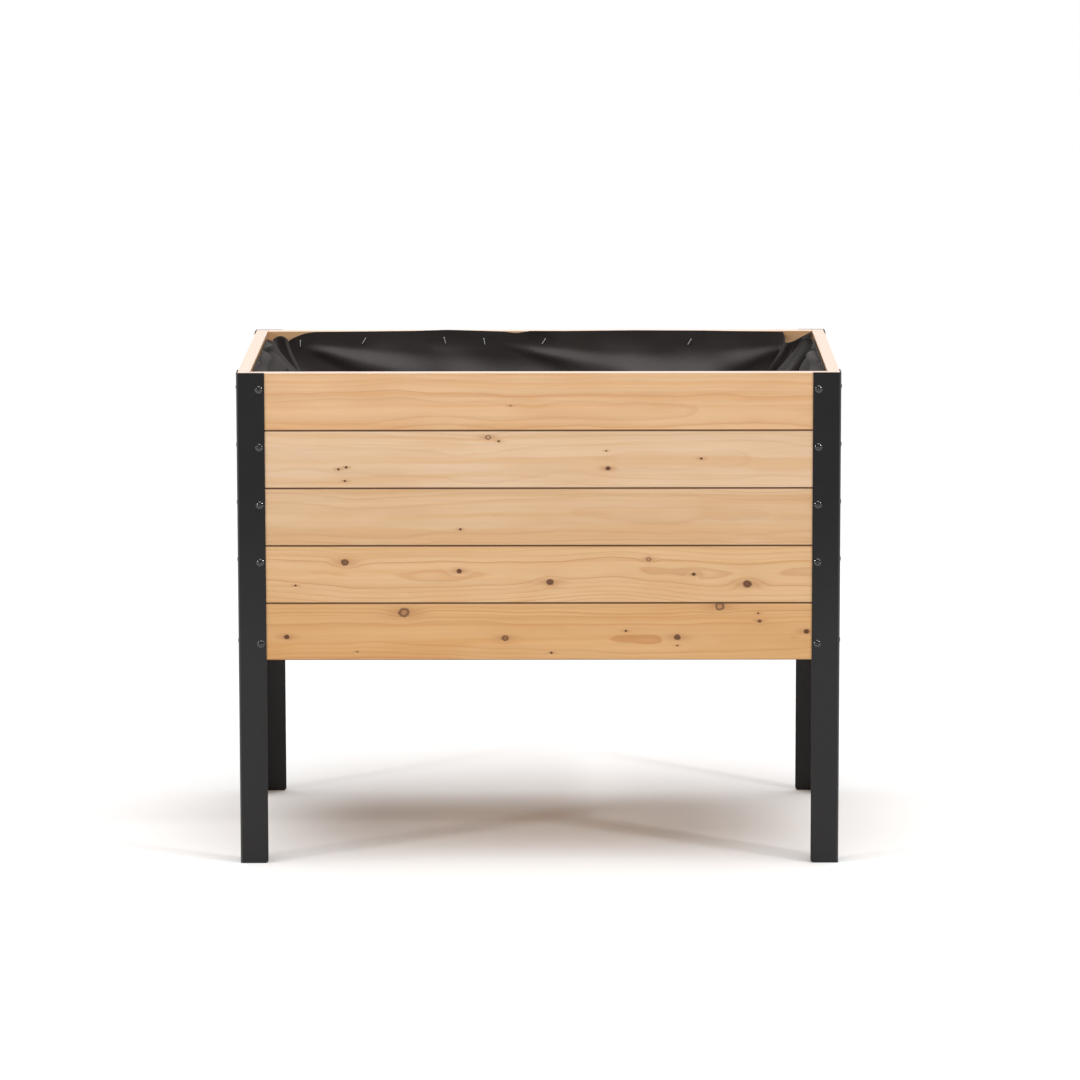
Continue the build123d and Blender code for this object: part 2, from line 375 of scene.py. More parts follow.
def powder_coat():
    coat = Finish("satin black powder coat")
    peel = coat.noise(coat.place, 950.0, 2.0, 0.55)
    cloud = coat.noise(coat.place, 14.0, 3.0)
    dust = coat.node("ShaderNodeTexVoronoi", (), {"Vector": coat.place, "Scale": 130.0, "Randomness": 1.0})
    speck = dust.step(0.055, 0.03)
    x, y, z = coat.split(coat.place)
    colour = coat.mix(cloud.step(0.3, 0.75), (0.0036, 0.0031, 0.0035), (0.0060, 0.0054, 0.0056))
    # Painted bounce light from the floor makes the lower half lighter.
    colour = coat.mix(z.step(0.60, 0.28) * 0.75, colour, (0.0190, 0.0176, 0.0178))
    colour = coat.mix(speck * 0.35, colour, (0.10, 0.095, 0.09))
    # Painted highlight: a lighter strip along the outer fold, where the bend would catch light.
    to_fold = (leg_reach.x - x.math("ABSOLUTE")).math("MAXIMUM", leg_reach.y - y.math("ABSOLUTE"))
    colour = coat.mix(to_fold.step(0.0034, 0.0018) * 0.8, colour, (0.062, 0.059, 0.057))
    return coat.surface(
        base_color=colour,
        roughness=(peel - 0.5) * 0.10 + (cloud - 0.5) * 0.08 + 0.44,
        normal=coat.bump(peel, 0.00012, 0.5),
        specular_ior_level=0.29,
    )


def leg_blank(corner, inward, height):
    """The outer face of a leg: a strip between its round toes and its top, already folded."""
    toe_steps = [toe * (1 - math.cos(math.radians(a))) for a in range(0, 91, 15)]
    turns = [math.radians(a) for a in range(0, 91, 10)]
    fold = [(bend * (1 - math.sin(turn)), bend * (1 - math.cos(turn))) for turn in turns]
    arm = [(flange - step, 0.0, math.sqrt(max(0.0, toe**2 - (toe - step) ** 2))) for step in toe_steps]
    columns = [(p, q, toe - rise) for p, q, rise in arm]
    columns += [(p, q, 0.0) for p, q in fold]
    columns += [(q, p, toe - rise) for p, q, rise in reversed(arm)]
    blank = bmesh.new()
    edges = []
    for p, q, foot in columns:
        x, y = corner[0] + inward[0] * p, corner[1] + inward[1] * q
        edges.append((blank.verts.new((x, y, foot)), blank.verts.new((x, y, height))))
    for (low_a, high_a), (low_b, high_b) in zip(edges, edges[1:]):
        face = (low_a, low_b, high_b, high_a)
        blank.faces.new(face if inward[0] * inward[1] < 0 else face[::-1])
    mesh = bpy.data.meshes.new("leg blank")
    blank.to_mesh(mesh)
    blank.free()
    mesh.shade_smooth()
    return mesh


coat = powder_coat()
top_of_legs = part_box("leg_front_left")[1][2]
sheet_metal = {"thickness": steel, "offset": -1.0, "use_even_offset": True, "use_quality_normals": True}
rounding = {
    "width": 0.0003,
    "segments": 2,
    "limit_method": "ANGLE",
    "angle_limit": math.radians(50),
    "harden_normals": True,
}
leg_corners = {}
for end in ("front", "rear"):
    for side in ("left", "right"):
        low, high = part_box(f"leg_{end}_{side}")
        corner = (low[0] if side == "left" else high[0], low[1] if end == "front" else high[1])
        inward = (1 if side == "left" else -1, 1 if end == "front" else -1)
        leg_corners[f"{end}_{side}"] = (corner, inward)
        leg = finished(
            f"angle_leg_{end}_{side}",
            leg_blank(corner, inward, top_of_legs),
            coat,
            [("SOLIDIFY", sheet_metal), ("BEVEL", rounding)],
        )
        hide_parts(f"leg_{end}_{side}")
        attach(leg, "root")

# ------------------------------------------------------------------ screws of the legs
# Black truss-head screws with a cross recess, one to each course in either flange of a leg.
# The heads bear on the steel and the shanks go into the boards, the lowest into the cleats.


class Shape(Graph):
    """A geometry node tree with named inputs, used as a modifier."""

    def __init__(self, name, inputs):
        super().__init__(bpy.data.node_groups.new(name, "GeometryNodeTree"))
        self.tree.interface.new_socket("Geometry", in_out="INPUT", socket_type="NodeSocketGeometry")
        for label, value in inputs.items():
            socket = self.tree.interface.new_socket(label, in_out="INPUT", socket_type="NodeSocketFloat")
            socket.default_value = value
        self.tree.interface.new_socket("Geometry", in_out="OUTPUT", socket_type="NodeSocketGeometry")
        entry = self.tree.nodes.new("NodeGroupInput")
        self.inputs = {output.name: Socket(self, output) for output in entry.outputs if output.name}

    def join_parts(self, *parts):
        """Several geometries as one."""
        joined = self.tree.nodes.new("GeometryNodeJoinGeometry")
        for part in parts:
            self.tree.links.new(part.socket, joined.inputs[0])
        return Socket(self, joined.outputs[0])

    def made(self, geometry, material, smooth_below=35.0):
        """Ends the tree: instances made real, smooth but for the sharp edges, with a material."""
        real = self.node("GeometryNodeRealizeInstances", (), {0: geometry})
        smooth = self.node("GeometryNodeSetShadeSmooth", (), {0: real, "Shade Smooth": True})
        fold = self.node("GeometryNodeInputMeshEdgeAngle")
        sharp = self.node(
            "FunctionNodeCompare", {"operation": "GREATER_THAN"}, {0: fold, 1: math.radians(smooth_below)}
        )
        creased = self.node(
            "GeometryNodeSetShadeSmooth", {"domain": "EDGE"}, {0: smooth, 1: sharp, "Shade Smooth": False}
        )
        coloured = self.node("GeometryNodeSetMaterial", (), {0: creased, "Material": material})
        self.node("NodeGroupOutput", (), {0: coloured})
        return self.tree


def grown(name, source, tree, **values):
    """A plain mesh piece from a source mesh and a geometry node tree with its named inputs."""
    piece = finished(name, source)
    modifier = piece.modifiers.new(name, "NODES")
    modifier.node_group = tree
    for item in tree.interface.items_tree:
        if item.in_out == "INPUT" and item.name in values:
            modifier[item.identifier] = values[item.name]
    settled = piece.evaluated_get(bpy.context.evaluated_depsgraph_get())
    piece.data = bpy.data.meshes.new_from_object(settled)
    piece.modifiers.clear()
    piece.data.name = name
    return piece


def black_oxide():
    black = Finish("black coated screws")
    grain = black.noise(black.place, 1500.0, 2.0)
    colour = black.mix(grain, (0.003, 0.003, 0.003), (0.007, 0.0065, 0.0065))
    return black.surface(
        base_color=colour,
        roughness=(grain - 0.5) * 0.05 + 0.11,
        normal=black.bump(grain, 0.00003, 0.3),
        specular_ior_level=0.8,
    )


def truss_screws(material):
    """Screws on the points of a mesh, each along the point's facing and turned about it."""
    sizes = {
        "Head Radius": 0.00575,
        "Head Height": 0.0028,
        "Rim Height": 0.0006,
        "Slot Width": 0.0011,
        "Slot Span": 0.0046,
        "Slot Depth": 0.0016,
        "Shank Radius": 0.0024,
        "Shank Length": 0.018,
        "Tip Length": 0.004,
    }
    shape = Shape("truss screw", sizes)
    size = shape.inputs
    rings = 12
    grid = shape.node(
        "GeometryNodeMeshGrid",
        (),
        {"Size X": 2.0, "Size Y": 2.0, "Vertices X": 2 * rings + 1, "Vertices Y": 2 * rings + 1},
    )

    # The head is a square grid pressed to a disc, with its outermost ring as the rim's wall.
    def vector(operation, *values):
        return shape.node("ShaderNodeVectorMath", {"operation": operation}, dict(enumerate(values)))

    at = shape.node("GeometryNodeInputPosition")
    x, y, z = shape.split(at)
    square_ring = x.math("ABSOLUTE").math("MAXIMUM", y.math("ABSOLUTE"))
    ring = (square_ring * (rings / (rings - 1))).math("MINIMUM", 1.0)
    flat = vector("NORMALIZE", shape.join(x, y, 0.0))
    radius = ring * size["Head Radius"]
    disc = shape.node("ShaderNodeVectorMath", {"operation": "SCALE"}, {0: flat, "Scale": radius})
    across, up, nothing = (part.math("ABSOLUTE") for part in shape.split(disc))
    dome = (1.0 - ring.squared()) * (size["Head Height"] - size["Rim Height"]) + size["Rim Height"]

    def slot_arm(along, beside):
        inside_span = along.math("LESS_THAN", size["Slot Span"] * 0.5)
        return inside_span * beside.math("LESS_THAN", size["Slot Width"] * 0.5)

    cross = slot_arm(across, up).math("MAXIMUM", slot_arm(up, across))
    floor_of_slot = size["Head Height"] - size["Slot Depth"]
    top = dome - cross * (dome - floor_of_slot)
    wall = square_ring.math("GREATER_THAN", 1.0 - 0.5 / rings)
    height = top * (1.0 - wall)
    raised = vector("ADD", disc, shape.join(0.0, 0.0, height))
    head = shape.node("GeometryNodeSetPosition", (), {0: grid, "Position": raised})
    underside = shape.node("GeometryNodeSetPosition", (), {0: grid, "Position": disc})
    seat = shape.node("GeometryNodeFlipFaces", (), {0: underside})
    both = shape.join_parts(head, seat)
    sealed = shape.node("GeometryNodeMergeByDistance", (), {0: both, "Distance": 0.00001})

    # The shank stands a little way into the head, and ends in a cone.
    body_length = size["Shank Length"] - size["Tip Length"]
    embedded = 0.0003
    end_of_body = shape.join(0.0, 0.0, -body_length)

    def turned_part(top_radius, depth, rotation):
        radii = {"Radius Top": top_radius, "Radius Bottom": size["Shank Radius"]}
        part = shape.node("GeometryNodeMeshCone", (), {"Vertices": 12, "Depth": depth, **radii})
        moved = {0: part, "Translation": end_of_body, "Rotation": rotation}
        return shape.node("GeometryNodeTransform", (), moved)

    body = turned_part(size["Shank Radius"], body_length + embedded, (0.0, 0.0, 0.0))
    tip = turned_part(0.0, size["Tip Length"], (math.pi, 0.0, 0.0))
    screw = shape.join_parts(sealed, body, tip)

    facing = shape.node("GeometryNodeInputNamedAttribute", {"data_type": "FLOAT_VECTOR"}, {0: "facing"})
    turned = shape.node("GeometryNodeInputNamedAttribute", {"data_type": "FLOAT"}, {0: "turn"})
    outwards = shape.node("FunctionNodeAlignRotationToVector", {"axis": "Z"}, {"Vector": facing})
    spin = shape.node("FunctionNodeAxisAngleToRotation", (), {"Axis": (0, 0, 1), "Angle": turned})
    pose = shape.node(
        "FunctionNodeRotateRotation", {"rotation_space": "LOCAL"}, {"Rotation": outwards, "Rotate By": spin}
    )
    points = shape.node("GeometryNodeMeshToPoints", (), {0: shape.inputs["Geometry"]})
    placed = shape.node(
        "GeometryNodeInstanceOnPoints", (), {"Points": points, "Instance": screw, "Rotation": pose}
    )
    return shape.made(placed, material)


def marked_points(name, places):
    """A mesh of bare points, each with the way it faces and its turn about that."""
    mesh = bpy.data.meshes.new(name)
    mesh.from_pydata([place for place, facing, turn in places], [], [])
    mesh.attributes.new("facing", "FLOAT_VECTOR", "POINT")
    mesh.attributes.new("turn", "FLOAT", "POINT")
    directions = [part for place, facing, turn in places for part in facing]
    mesh.attributes["facing"].data.foreach_set("vector", directions)
    mesh.attributes["turn"].data.foreach_set("value", [turn for place, facing, turn in places])
    return mesh


screw_inset = 0.0254
screw_setback = 0.0345
oxide = black_oxide()
screw_tree = truss_screws(oxide)
sill_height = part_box("front_board_5")[0][2] + screw_inset
lowest_screws = []
for name, (corner, inward) in leg_corners.items():
    upper_screws = []
    columns = (
        ((corner[0] + inward[0] * screw_setback, corner[1]), (0, -inward[1], 0)),
        ((corner[0], corner[1] + inward[1] * screw_setback), (-inward[0], 0, 0)),
    )
    for (x, y), facing in columns:
        for course in range(1, 5):
            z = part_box(f"front_board_{course}")[1][2] - screw_inset
            upper_screws.append(((x, y, z), facing, chance.uniform(0, math.pi)))
        lowest_screws.append(((x, y, sill_height), facing, chance.uniform(0, math.pi)))
    screws = grown(f"truss_screws_{name}", marked_points(f"screws {name}", upper_screws), screw_tree)
    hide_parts(f"leg_screws_{name}")
    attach(screws, "root")
long_shank = {"Shank Length": 0.030}
long_screws = grown("truss_screws_lowest", marked_points("lowest", lowest_screws), screw_tree, **long_shank)
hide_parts("sill_screws")
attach(long_screws, "root")

# ------------------------------------------------------------------ floor
# Cleats of the same cedar run round the inside of the bottom course, and nine slats lie across
# them with gaps for drainage. Zinc-plated countersunk screws hold the cleats and the slats.

floor_tone = (0.56, 0.35, 0.18)
for node in [f"cleat_{wall}" for wall in grains] + [f"floor_slat_{n}" for n in range(1, 10)]:
    low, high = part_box(node)
    spans = [b - a for a, b in zip(low, high)]
    grain = sorted(range(3), key=lambda axis: -spans[axis])
    knots = [
        (
            chance.uniform(-0.45, 0.45) * spans[grain[0]],
            chance.uniform(-0.4, 0.4) * spans[grain[1]],
            chance.choice((0.0016, 0.0028, 0.0045)),
            chance.choice((0.4, 1.0)),
        )
        for n in range(chance.randint(1, 4))
    ]
    pith = (chance.uniform(-0.02, 0.02), chance.choice((-1, 1)) * chance.uniform(0.02, 0.06))
    lift = chance.uniform(0.92, 1.06)
    tone = tuple(c * lift for c in floor_tone)
    look = (grain, tone, chance.uniform(0, 90), pith, knots)
    eased_board(node, cedar("cedar of " + node, middle(node), *look))


def zinc():
    plating = Finish("zinc plate")
    haze = plating.noise(plating.place, 400.0, 3.0)
    return plating.surface(
        base_color=plating.mix(haze, (0.50, 0.50, 0.50), (0.66, 0.66, 0.65)),
        metallic=1.0,
        roughness=(haze - 0.5) * 0.2 + 0.34,
        normal=plating.bump(haze, 0.00003, 0.4),
    )


plating = zinc()
for node in ("cleat_screws", "slat_screws"):
    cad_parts[node].data.materials.clear()
    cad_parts[node].data.materials.append(plating)

# ------------------------------------------------------------------ staples
# Twenty staples of galvanised flat wire, shot through the liner into the top course at the
# angles that a hand-held gun leaves.


def galvanised():
    wire = Finish("galvanised wire")
    haze = wire.noise(wire.place, 700.0, 3.0)
    return wire.surface(
        base_color=wire.mix(haze, (0.80, 0.80, 0.79), (0.92, 0.91, 0.89)),
        metallic=0.55,
        roughness=(haze - 0.5) * 0.2 + 0.42,
        normal=wire.bump(haze, 0.00003, 0.4),
    )


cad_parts["liner_staples"].data.materials.clear()
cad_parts["liner_staples"].data.materials.append(galvanised())

# ------------------------------------------------------------------ liner
# One sheet of black non-woven cloth, laid over the slats and up the four walls. It is held
# by the staples, from which cone-shaped folds run down, and gathered into loops in the corners.

rear_low, rear_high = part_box("rear_board_1")
half_x, half_y, rim_top = Vector((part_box("right_board_1")[0][0], rear_low[1], rear_high[2]))
floor_top = Vector(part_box("floor_slat_5")[1]).z
wall_height = rim_top - floor_top
wall_slack = 1.02
floor_slack = 0.01
wall_cloth = wall_height * wall_slack
cloth_thickness = 0.0008
clear = 0.0012
foot_inset = 0.012
foot_rise = 0.006
foot_blend = 0.018


def eased(value):
    value = np.clip(value, 0.0, 1.0)
    return value * value * (3 - 2 * value)


def from_staple(along, drop, start, towards):
    """How far each place is from the start of a fold, and at what angle below the rim."""
    run = (along - start[0] / 1000) * towards
    fall = drop - start[1] / 1000
    return np.hypot(run, fall), np.degrees(np.arctan2(fall, run))


def cone_fold(along, drop, start, towards, upper, crest, lift, reach):
    """How far a fold that runs out from a staple lifts the cloth off the wall."""
    distance, angle = from_staple(along, drop, start, towards)
    rise = eased((angle - upper) / (crest - upper))
    beyond = 1 - 0.80 * eased((angle - crest) / (crest * 0.7 + 5)) - 0.20 * eased((angle - 50) / 40)
    return lift * distance * np.exp(-distance * 1000 / reach) * rise * np.maximum(beyond, 0)


# Per wall: the folds as (start along the wall and below the rim, way, upper edge and crest in
# degrees, lift, reach), and the top edge as (place, drop, distance from the wall) in mm.
# Places run along x on the long walls and along y on the short ones.
folds = {
    "rear": (
        ((-388, 21), 1, 4, 16, 0.20, 260),
        ((-55, 22), 1, 4, 13, 0.17, 170),
        ((395, 25), -1, 2, 21, 0.19, 260),
        ((-285, 20), -1, 60, 85, 0.10, 60),
    ),
    "front": (
        ((388, 22), -1, 5, 19, 0.18, 240),
        ((-90, 20), 1, 6, 18, 0.16, 200),
        ((-330, 22), 1, 4, 17, 0.14, 200),
    ),
    "left": (
        ((192, 6), -1, 1, 6, 0.26, 140),
        ((190, 8), -1, 12, 30, 0.58, 120),
        ((-185, 10), 1, 8, 24, 0.30, 120),
    ),
    "right": (
        ((125, 9), -1, 1, 7, 0.34, 130),
        ((150, 12), -1, 14, 34, 0.46, 120),
        ((-185, 10), 1, 8, 26, 0.28, 120),
    ),
}
edges = {
    "rear": (
        *((-408, 17, 3), (-398, 10, 2), (-382, 4, 1), (-366, 1, 1), (-300, 0.5, 0), (-200, -0.5, 0)),
        *((-150, -2.2, 1), (-95, -0.5, 0), (-60, 0.5, 0), (-42, 3.2, 0), (-30, 2.8, 1), (-20, -0.5, 3)),
        *((40, 0, 0), (150, -1, 0), (260, -0.5, 0), (340, 0.8, 0), (393, 1.5, 2)),
    ),
    "front": (
        *((-400, 12, 3), (-370, 4, 1), (-200, 1, 1), (0, 2, 2), (190, 0.5, 0), (350, 3, 1), (402, 14, 3)),
    ),
    "left": ((-205, 9, 3), (-180, 4, 1), (-90, 3, 2), (20, 4.5, 3), (110, 4, 2), (193, 5, 2)),
    "right": ((-205, 8, 3), (-175, 3, 1), (-60, 2.5, 2), (60, 2, 3), (150, 1.5, 2), (200, 5, 6)),
}
# Per corner, from the short wall to the long one: (distance from the short wall, distance from
# the long wall, drop) in mm at the cut edge, and both distances lower down, where it bulges.
loops = {
    (-1, 1): (
        (
            *((2, 68, 6), (5, 52, 9), (9, 36, 13), (8, 18, 12), (13, 9, 9)),
            *((20, 11, 6.5), (27, 14, 8), (31, 9, 15), (24, 5, 19), (32, 3, 17)),
        ),
        ((24, 100), (62, 86), (74, 62), (48, 46), (26, 30), (44, 34), (66, 36), (62, 16), (34, 10), (44, 5)),
    ),
    (1, 1): (
        (
            *((9, 62, 10), (18, 48, 8), (10, 34, 4), (3, 20, 2), (2, 8, 1)),
            *((14, 7, 8), (26, 12, 14), (38, 16, 18), (42, 7, 13), (47, 4, 1.5)),
        ),
        ((20, 110), (50, 104), (66, 78), (36, 58), (58, 44), (80, 40), (56, 22), (70, 14), (92, 18), (62, 5)),
    ),
    (-1, -1): (
        (
            *((3, 57, 14), (12, 44, 10), (5, 30, 8), (14, 18, 12)),
            *((26, 22, 8), (22, 8, 10), (30, 5, 13), (40, 3, 12)),
        ),
        ((12, 90), (48, 84), (30, 56), (54, 50), (74, 44), (46, 30), (58, 26), (50, 18)),
    ),
    (1, -1): (
        (
            *((3, 57, 12), (14, 50, 9), (10, 30, 6), (5, 14, 9)),
            *((16, 12, 12), (30, 18, 8), (33, 8, 12), (38, 3, 14)),
        ),
        ((14, 96), (54, 88), (40, 58), (24, 40), (48, 36), (74, 40), (58, 26), (50, 18)),
    ),
}
walls = ("rear", "front", "left", "right")
long_walls = ("rear", "front")
staple_span = 0.025


def staple_places():
    """The middles of the staples on each wall, as (place along the wall, depth below the rim)."""
    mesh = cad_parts["liner_staples"].data
    places = np.empty(len(mesh.vertices) * 3)
    mesh.vertices.foreach_get("co", places)
    groups = []
    for place in places.reshape(-1, 3):
        for group in groups:
            if np.linalg.norm(group[0] - place) < staple_span:
                group.append(place)
                break
        else:
            groups.append([place])
    found = {wall: [] for wall in walls}
    for group in groups:
        x, y, z = np.mean(group, axis=0)
        if abs(abs(y) - half_y) < abs(abs(x) - half_x):
            found["rear" if y > 0 else "front"].append((x, rim_top - z))
        else:
            found["right" if x > 0 else "left"].append((y, rim_top - z))
    return found


staples = staple_places()
pucker_width, pucker_height = 0.030, 0.014
wave_height = 0.0016
draw = random.Random(5).uniform
waves = [(draw(0, 6.3), draw(0.07, 0.30), draw(-1.2, 1.2)) for n in range(10)]


def raised(wall, along, drop):
    """How far the crests of the short walls' folds stand up."""
    lift = np.zeros(along.shape)
    if wall in long_walls:
        return lift
    for start, towards, upper, crest, height, reach in folds[wall]:
        distance, angle = from_staple(along, drop, start, towards)
        off_crest = (angle - crest) / (0.45 * (crest - upper) + 3)
        share = 0.9 if crest < 10 else 0.1
        lift += share * height * distance * np.exp(-distance * 1000 / reach - off_crest**2)
    return lift


def off_wall(wall, along, drop):
    """The cloth's distance from its wall: sagging and waves, folds, the edge, and the staples' pull."""
    height = wall_height - drop
    off = 0.017 * eased(drop / 0.16) * eased(height / 0.10)
    for phase, length, slant in waves:
        along_wave = along * math.cos(slant) + drop * math.sin(slant)
        swing = np.sin(2 * math.pi * along_wave / length + phase + len(wall))
        off = off + wave_height * swing * eased(drop / 0.08)
    off = np.maximum(off, 0)
    for fold in folds[wall]:
        off = off + cone_fold(along, drop, *fold) * eased(height / 0.12)
    rim = np.array(edges[wall]) / 1000
    off = off + np.interp(along, rim[:, 0], rim[:, 2]) * np.exp(-drop / 0.05)
    for place, depth in staples[wall]:
        near = ((along - place) / pucker_width) ** 2 + ((drop - depth) / pucker_height) ** 2
        off = off * (1 - np.exp(-(near**1.5)))
    return off * (1 - np.exp(-np.maximum(height - foot_rise, 0) / 0.012))


def along_loop(points, steps):
    """Evenly spaced places on a smooth line through the points."""
    points = np.array(points, dtype=float) / 1000
    padded = np.vstack((2 * points[0] - points[1], points, 2 * points[-1] - points[-2]))
    fine = []
    for n in range(1, len(padded) - 2):
        before, here, there, after = padded[n - 1 : n + 3]
        for part in np.linspace(0, 1, 16, endpoint=False):
            square = (2 * before - 5 * here + 4 * there - after) * part**2
            cube = (3 * here - before - 3 * there + after) * part**3
            fine.append(0.5 * (2 * here + (there - before) * part + square + cube))
    fine.append(points[-1])
    fine = np.array(fine)
    gone = np.concatenate(([0], np.cumsum(np.linalg.norm(np.diff(fine, axis=0), axis=1))))
    share = np.linspace(0, gone[-1], steps)
    return np.column_stack([np.interp(share, gone, column) for column in fine.T])


long_steps, short_steps, corner_steps, rows = 90, 54, 66, 60
climb = 1 - (1 - np.arange(rows + 1) / rows) ** 1.6
foot_x = np.linspace(-half_x + foot_inset, half_x - foot_inset, long_steps + 1)
foot_y = np.linspace(-half_y + foot_inset, half_y - foot_inset, short_steps + 1)


def wall_strip(wall):
    """Points of one wall, as rows going up by places going along, and their flat places."""
    long_wall = wall in long_walls
    side = 1 if wall in ("rear", "right") else -1
    foot = foot_x if long_wall else foot_y
    half, other = (half_x, half_y) if long_wall else (half_y, half_x)
    rim = np.array(edges[wall]) / 1000
    head = np.linspace(rim[0, 0], rim[-1, 0], len(foot))
    top_drop = np.interp(head, rim[:, 0], rim[:, 1])
    lean = eased(climb[:, None])
    along = foot[None, :] * (1 - lean) + head[None, :] * lean
    height = foot_rise + (wall_height - top_drop[None, :] - foot_rise) * climb[:, None]
    drop = wall_height - height
    curve_of_foot = (foot_inset - clear) * np.exp(-(height - foot_rise) / foot_blend)
    across = side * (other - clear - off_wall(wall, along, drop) - curve_of_foot)
    flat_along = np.broadcast_to(foot / half * (half + floor_slack), across.shape)
    flat_across = np.broadcast_to(side * (other + floor_slack + wall_cloth * climb[:, None]), across.shape)
    inside = eased(drop / 0.02) * eased(height / 0.05)
    up = floor_top + height + raised(wall, along, drop) * inside
    if long_wall:
        return np.dstack((along, across, up)), np.dstack((flat_along, flat_across))
    return np.dstack((across, along, up)), np.dstack((flat_across, flat_along))


def corner_strip(side_x, side_y):
    """Points of one corner, from the short wall to the long one, and their flat places."""
    top, low = (along_loop(points, corner_steps + 1) for points in loops[side_x, side_y])
    turn = np.linspace(0, 1, corner_steps + 1)
    height = foot_rise + (wall_height - top[None, :, 2] - foot_rise) * climb[:, None]
    share = eased((wall_height - height) / 0.10)
    taper = np.clip(height / (wall_height - 0.10), 0, 1)
    from_short = (top[None, :, 0] * (1 - share) + low[None, :, 0] * share) * taper
    from_long = (top[None, :, 1] * (1 - share) + low[None, :, 1] * share) * taper

    # The ends follow the edges of the walls' strips.
    short_end = wall_strip("right" if side_x > 0 else "left")[0][:, -1 if side_y > 0 else 0]
    long_end = wall_strip("rear" if side_y > 0 else "front")[0][:, -1 if side_x > 0 else 0]
    near, far = eased(1 - turn / 0.25)[None, :], eased(1 - (1 - turn) / 0.25)[None, :]
    foot = foot_inset * np.exp(-(height - foot_rise) / foot_blend) * (1 - np.maximum(near, far))

    def joined(line, at_short, at_long):
        return line + (at_short - line[:, 0])[:, None] * near + (at_long - line[:, -1])[:, None] * far

    from_short = joined(from_short, half_x - np.abs(short_end[:, 0]), half_x - np.abs(long_end[:, 0])) + foot
    from_long = joined(from_long, half_y - np.abs(short_end[:, 1]), half_y - np.abs(long_end[:, 1])) + foot
    height = joined(height, short_end[:, 2] - floor_top, long_end[:, 2] - floor_top)
    x = side_x * (half_x - np.maximum(from_short, clear))
    y = side_y * (half_y - np.maximum(from_long, clear))
    angle = turn[None, :] * math.pi / 2
    flat_x = side_x * (half_x + floor_slack + wall_cloth * climb[:, None] * np.cos(angle))
    flat_y = side_y * (half_y + floor_slack + wall_cloth * climb[:, None] * np.sin(angle))
    return np.dstack((x, y, floor_top + height)), np.dstack((flat_x, flat_y))


def floor_part():
    """Points of the part that lies on the slats, and their flat places."""
    x, y = np.meshgrid(foot_x, foot_y)
    edge = np.minimum(half_x - foot_inset - np.abs(x), half_y - foot_inset - np.abs(y))
    swell = 0.0012 * (np.sin(x * 17 + 1) * np.cos(y * 21) + 1) * eased(edge / 0.08)
    z = floor_top + 0.0010 + swell + 0.005 * np.exp(-edge / 0.012)
    flat = np.dstack((x / half_x * (half_x + floor_slack), y / half_y * (half_y + floor_slack)))
    return np.dstack((x, y, z)), flat


def cloth_mesh(name):
    """Floor, walls and corners joined into one sheet."""
    places, flats, faces = [], [], []

    def weave(points, flat, turned):
        first = sum(len(part) for part in places)
        places.append(points.reshape(-1, 3))
        flats.append(flat.reshape(-1, 2))
        index = first + np.arange(points[..., 0].size).reshape(points.shape[:2])
        around = (index[:-1, :-1], index[:-1, 1:], index[1:, 1:], index[1:, :-1])
        quads = np.stack(around[::-1] if turned else around, axis=-1)
        faces.extend(quads.reshape(-1, 4).tolist())

    weave(*floor_part(), False)
    for wall in walls:
        weave(*wall_strip(wall), wall in ("front", "right"))
    for side_x, side_y in loops:
        weave(*corner_strip(side_x, side_y), side_x * side_y < 0)
    mesh = bpy.data.meshes.new(name)
    mesh.from_pydata(np.vstack(places).tolist(), [], faces)
    layer = mesh.uv_layers.new(name="cut")
    corners = np.empty(len(mesh.loops), dtype=np.int32)
    mesh.loops.foreach_get("vertex_index", corners)
    layer.data.foreach_set("uv", np.vstack(flats)[corners].ravel())
    shell = bmesh.new()
    shell.from_mesh(mesh)
    bmesh.ops.remove_doubles(shell, verts=shell.verts, dist=0.0004)
    bmesh.ops.recalc_face_normals(shell, faces=shell.faces)
    shell.to_mesh(mesh)
    shell.free()
    mesh.shade_smooth()
    return mesh


packet_fold = 0.285


def black_cloth():
    cloth = Finish("black non-woven cloth")
    cut = cloth.node("ShaderNodeUVMap", {"uv_map": "cut"})
    u, v, nothing = cloth.split(cut)
    fibres = cloth.noise(cut, 900.0, 3.0, 0.7)
    felt = cloth.noise(cut, 260.0, 2.0)
    cloud = cloth.noise(cut, 9.0, 3.0)
    crumple = cloth.noise(cut, 30.0, 3.0, 0.45, 0.6)

    # Straight creases where the sheet was folded in its packet.
    def creases(coordinate, offset):
        part = ((coordinate - offset) / packet_fold).fraction() - 0.5
        return part.math("ABSOLUTE").step(0.492, 0.5)

    folded = creases(u, -0.005).math("MAXIMUM", creases(v, 0.02))
    colour = cloth.mix(fibres, (0.0135, 0.0100, 0.0088), (0.0335, 0.0255, 0.0225))
    colour = cloth.mix(cloud.step(0.4, 0.8) * 0.35, colour, (0.044, 0.0345, 0.0295))
    height = fibres * 0.5 + felt * 0.3 + folded * 0.8 + crumple * 7.0
    return cloth.surface(
        base_color=colour,
        roughness=(fibres - 0.5) * 0.12 + (cloud - 0.5) * 0.10 + 0.58,
        normal=cloth.bump(height, 0.00025, 0.5),
        specular_ior_level=0.42,
        sheen_weight=0.12,
        sheen_roughness=0.5,
    )


thickening = ("SOLIDIFY", {"thickness": cloth_thickness, "offset": 0.0})
liner = finished("cloth_liner", cloth_mesh("cloth_liner"), black_cloth(), [thickening])
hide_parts("liner")
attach(liner, "root")
cut_x, cut_y = 2 * (half_x + floor_slack + wall_cloth), 2 * (half_y + floor_slack + wall_cloth)
cut_x * cut_y - (4 - math.pi) * wall_cloth**2

# ------------------------------------------------------------------ studio
# A pale floor under soft light from above and from both sides of the camera, which looks
# slightly down at the front from some way off through a long lens.


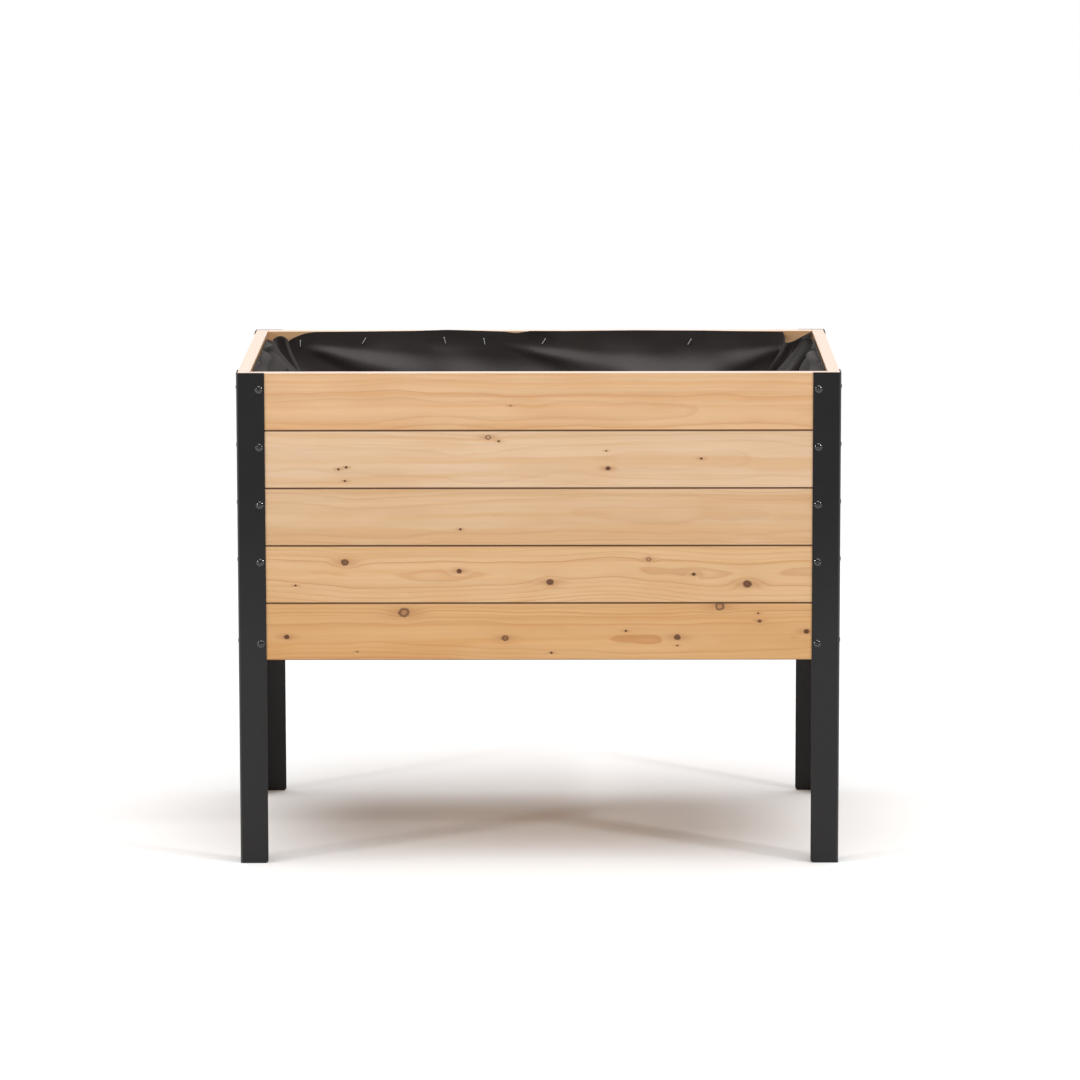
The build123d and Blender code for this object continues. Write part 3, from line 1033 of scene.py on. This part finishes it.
def studio_floor():
    paper = Finish("pale floor")
    tone = paper.noise(paper.place, 1.5, 2.0)
    return paper.surface(
        base_color=paper.mix(tone, (0.83, 0.83, 0.83), (0.85, 0.85, 0.85)),
        roughness=0.9,
        specular_ior_level=0.1,
    )


floor_mesh = bpy.data.meshes.new("floor")
reach = 120.0
floor_mesh.from_pydata(
    [(-reach, -reach, 0), (reach, -reach, 0), (reach, reach, 0), (-reach, reach, 0)], [], [(0, 1, 2, 3)]
)
floor = finished("floor", floor_mesh, studio_floor())


def soft_light(name, kind, place, target, energy, **settings):
    """A light at a place that points at a target."""
    light = bpy.data.lights.new(name, kind)
    light.energy = energy
    for key, value in settings.items():
        setattr(light, key, value)
    lamp = bpy.data.objects.new(name, light)
    scene.collection.objects.link(lamp)
    lamp.location = place
    lamp.rotation_euler = (Vector(target) - Vector(place)).to_track_quat("-Z", "Y").to_euler()


box_middle = (0.0, 0.0, 0.5)
soft_light("overhead", "SUN", (0.2, -0.4, 4.0), (0.0, 0.0, 0.0), 3.23, angle=math.radians(70))
soft_light("left softbox", "AREA", (-4.0, -2.9, 2.2), box_middle, 48, size=0.4)
soft_light("right softbox", "AREA", (3.8, -2.9, 3.0), box_middle, 62, size=0.4)
soft_light("left edge", "AREA", (-3.6, -0.2, 0.9), box_middle, 35, size=2.5)
soft_light("right edge", "AREA", (3.6, -0.2, 0.9), box_middle, 15, size=2.5)

world = bpy.data.worlds.new("studio")
scene.world = world
world.use_nodes = True
sky = world.node_tree.nodes["Background"]
sky.inputs["Color"].default_value = (1.0, 1.0, 1.0, 1.0)
sky.inputs["Strength"].default_value = 0.21

camera = bpy.data.cameras.new("camera")
camera.sensor_width = 36.0
camera.lens = 184.4
camera.clip_end = 500.0
viewer = bpy.data.objects.new("camera", camera)
scene.collection.objects.link(viewer)
turn = Matrix.Rotation(math.radians(0.233), 4, "Z")
tilt = Matrix.Rotation(math.radians(90 - 8.925), 4, "X")
roll = Matrix.Rotation(math.radians(-0.0965), 4, "Z")
viewer.matrix_world = Matrix.Translation((0.0357, -8.638, 1.8166)) @ turn @ tilt @ roll
scene.camera = viewer
scene.view_settings.view_transform = "Standard"
scene.view_settings.look = "None"
